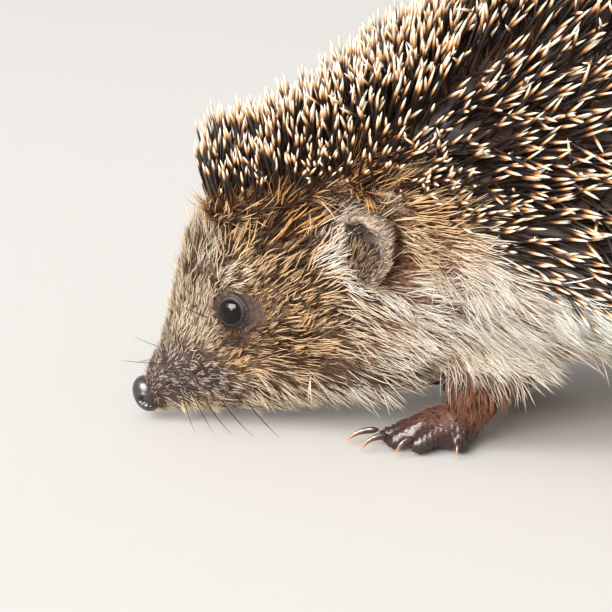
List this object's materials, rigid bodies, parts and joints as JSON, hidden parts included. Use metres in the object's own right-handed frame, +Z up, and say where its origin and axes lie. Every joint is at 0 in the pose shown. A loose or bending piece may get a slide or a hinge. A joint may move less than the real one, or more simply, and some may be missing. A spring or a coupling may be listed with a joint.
{
  "type": "hedgehog",
  "caption": "Life-size still model of a standing European hedgehog: spiny back, pale furred face and flanks, pointed snout held low to the ground.",
  "frame": {"origin": "on the floor under the middle of the animal's box", "axes": "+Z up, the animal faces -Y, its left side is +X"},
  "size_m": [0.1254, 0.2132, 0.1142],
  "materials": {
    "spines": "horny spines, near black brown with cream tips, satin",
    "fur": "long coarse cream hair over brown, flanks and belly",
    "face_fur": "short brindled brown and cream hair",
    "leg_fur": "short red-brown hair",
    "skin": "dark bare skin with fine folds",
    "ear": "thin grey-brown skin with short pale down",
    "nose": "moist black pebbled skin",
    "eye": "wet black-brown, mirror gloss",
    "horn": "claw horn, dark at the root and amber at the tip"
  },
  "bodies": {
    "root": {"head": "face_fur", "jaw": "face_fur", "nose": "nose", "neck": "spines", "trunk": "spines", "tail": "skin", "eye_left": "eye", "ear_left": "ear", "foreleg_left": "leg_fur", "forefoot_left": "skin", "claw_fore_left_1": "horn", "claw_fore_left_2": "horn", "claw_fore_left_3": "horn", "claw_fore_left_4": "horn", "claw_fore_left_5": "horn", "hindleg_left": "leg_fur", "hindfoot_left": "skin", "claw_hind_left_1": "horn", "claw_hind_left_2": "horn", "claw_hind_left_3": "horn", "claw_hind_left_4": "horn", "claw_hind_left_5": "horn", "eye_right": "eye", "ear_right": "ear", "foreleg_right": "leg_fur", "forefoot_right": "skin", "claw_fore_right_1": "horn", "claw_fore_right_2": "horn", "claw_fore_right_3": "horn", "claw_fore_right_4": "horn", "claw_fore_right_5": "horn", "hindleg_right": "leg_fur", "hindfoot_right": "skin", "claw_hind_right_1": "horn", "claw_hind_right_2": "horn", "claw_hind_right_3": "horn", "claw_hind_right_4": "horn", "claw_hind_right_5": "horn"}
  },
  "joints": []
}
